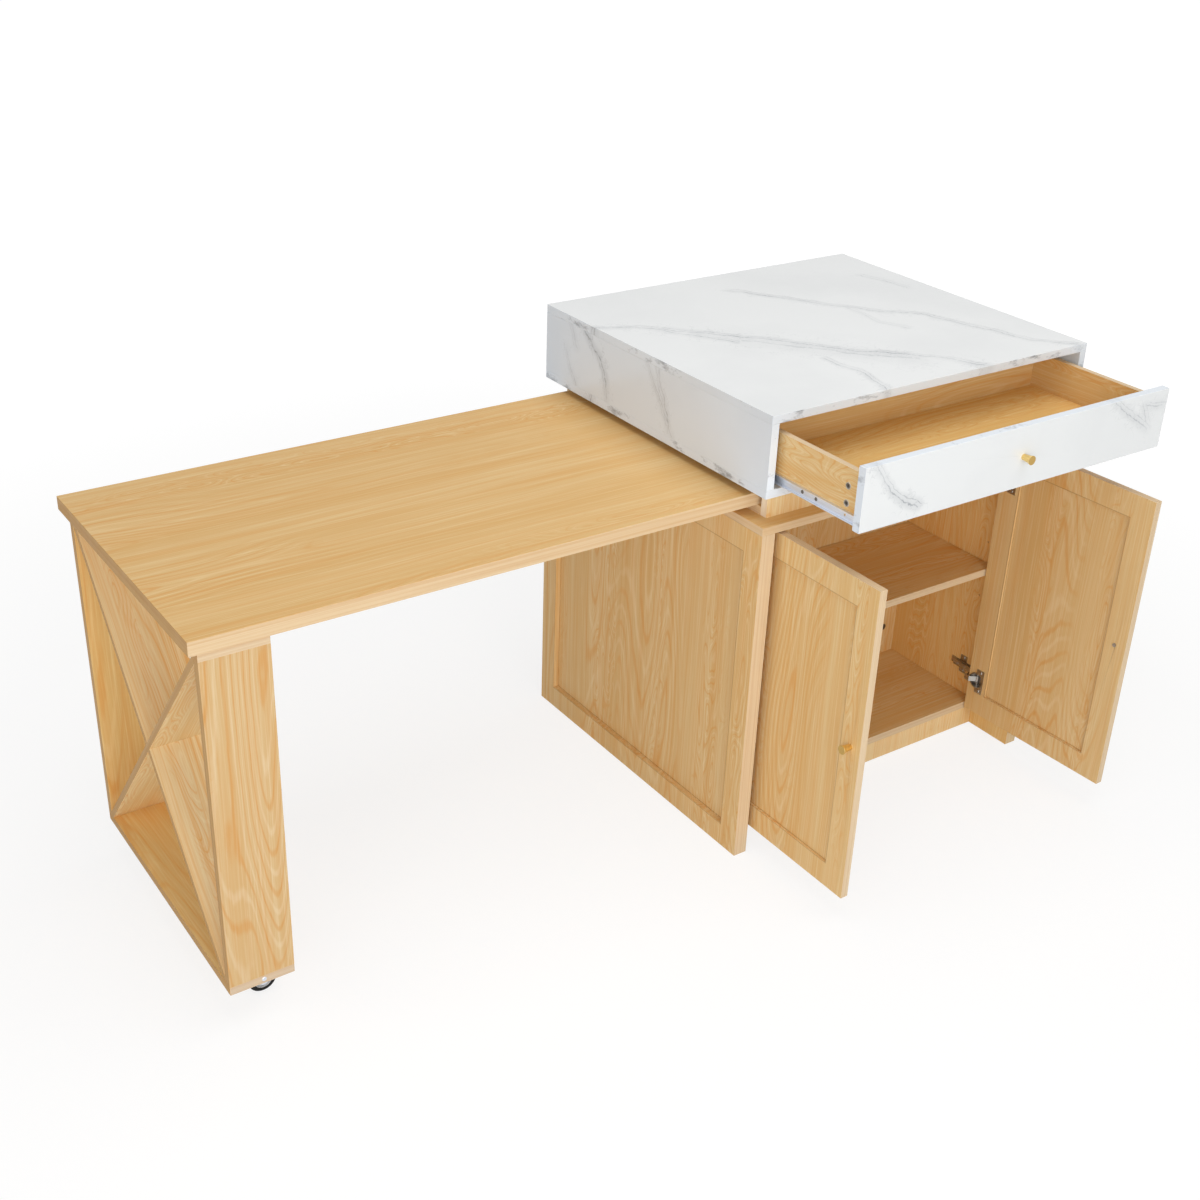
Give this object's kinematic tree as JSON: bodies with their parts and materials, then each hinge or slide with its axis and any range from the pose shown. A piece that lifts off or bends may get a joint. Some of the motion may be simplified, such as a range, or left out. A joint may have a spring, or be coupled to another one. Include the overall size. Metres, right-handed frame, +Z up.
{
  "type": "counter height table",
  "caption": "Counter height kitchen island cabinet with hinged doors, a shelf and a drawer in a marble-look top, and a pull-out dining leaf on a castored X-braced leg.",
  "frame": {"origin": "on the floor under the middle of the whole object as it stands in the picture, with doors and drawer open and the leaf pulled out", "axes": "+X from the leaf's free end toward the cabinet, -Y toward the side of the doors and drawer, +Z up"},
  "size_m": [1.812, 0.9611, 0.915],
  "materials": {
    "maple": "satin laminate with maple grain",
    "marble": "gloss white marble-look laminate",
    "knob_brass": "satin",
    "zinc_steel": "zinc plated",
    "nickel_steel": "nickel plated",
    "cam_zinc": "dark zinc casting",
    "castor_rubber": "matt black",
    "castor_plastic": "light grey"
  },
  "bodies": {
    "cabinet": {"left_side_panel": "maple", "right_side_panel": "maple", "cabinet_top": "maple", "bottom_panel": "maple", "plinth": "maple", "back_panel": "maple", "shelf": "maple", "shelf_pins": "nickel_steel", "panel_cams": "cam_zinc", "front_riser": "maple", "rear_riser": "maple", "right_riser": "maple", "bed_sill": "maple", "bed_runners": "maple", "counter_top": "marble", "box_left_side": "marble", "box_right_side": "marble", "box_bottom": "marble", "box_back": "marble", "slide_channels": "zinc_steel", "hinge_arms": "nickel_steel", "hinge_plates": "nickel_steel", "hinge_plate_screws": "nickel_steel"},
    "drawer": {"drawer_front": "marble", "drawer_left_side": "maple", "drawer_right_side": "maple", "drawer_back": "maple", "drawer_bottom": "maple", "slide_runners": "zinc_steel", "drawer_cams": "cam_zinc", "drawer_knob": "knob_brass", "drawer_knob_screw": "nickel_steel"},
    "left_door": {"left_door": "maple", "left_door_knob": "knob_brass", "left_knob_screw": "nickel_steel", "left_hinge_cups": "nickel_steel", "left_hinge_pins": "nickel_steel"},
    "right_door": {"right_door": "maple", "right_door_knob": "knob_brass", "right_knob_screw": "nickel_steel", "right_hinge_cups": "nickel_steel", "right_hinge_pins": "nickel_steel"},
    "table": {"table_leaf": "maple", "leaf_stop": "maple", "leg_top_board": "maple", "leg_bottom_board": "maple", "leg_near_board": "maple", "leg_far_board": "maple", "long_brace": "maple", "short_braces": "maple", "castor_plates": "zinc_steel", "castor_king_pins": "zinc_steel"},
    "near_castor": {"near_castor_fork": "zinc_steel", "near_castor_axle": "zinc_steel"},
    "far_castor": {"far_castor_fork": "zinc_steel", "far_castor_axle": "zinc_steel"},
    "near_wheel": {"near_castor_wheel": "castor_plastic", "near_castor_tyre": "castor_rubber"},
    "far_wheel": {"far_castor_wheel": "castor_plastic", "far_castor_tyre": "castor_rubber"}
  },
  "joints": [
    {"name": "table_slide", "type": "slide", "parent": "cabinet", "child": "table", "axis": [1, 0, 0], "range_m": [0, 0.56]},
    {"name": "drawer_slide", "type": "slide", "parent": "cabinet", "child": "drawer", "axis": [0, 1, 0], "range_m": [-0.012, 0.213]},
    {"name": "left_door_hinge", "type": "hinge", "parent": "cabinet", "child": "left_door", "pos_m": [0.1655, -0.1365, 0.3685], "axis": [0, 0, 1], "range_deg": [-6, 90]},
    {"name": "right_door_hinge", "type": "hinge", "parent": "cabinet", "child": "right_door", "pos_m": [0.8565, -0.1365, 0.3685], "axis": [0, 0, -1], "range_deg": [-4, 92]},
    {"name": "near_castor_swivel", "type": "hinge", "parent": "table", "child": "near_castor", "pos_m": [-0.834, -0.0875, 0.0677], "axis": [0, 0, 1], "continuous": true},
    {"name": "far_castor_swivel", "type": "hinge", "parent": "table", "child": "far_castor", "pos_m": [-0.834, 0.3435, 0.0677], "axis": [0, 0, 1], "continuous": true},
    {"name": "near_wheel_roll", "type": "hinge", "parent": "near_castor", "child": "near_wheel", "pos_m": [-0.809, -0.0875, 0.025], "axis": [0, 1, 0], "continuous": true},
    {"name": "far_wheel_roll", "type": "hinge", "parent": "far_castor", "child": "far_wheel", "pos_m": [-0.809, 0.3435, 0.025], "axis": [0, 1, 0], "continuous": true}
  ]
}
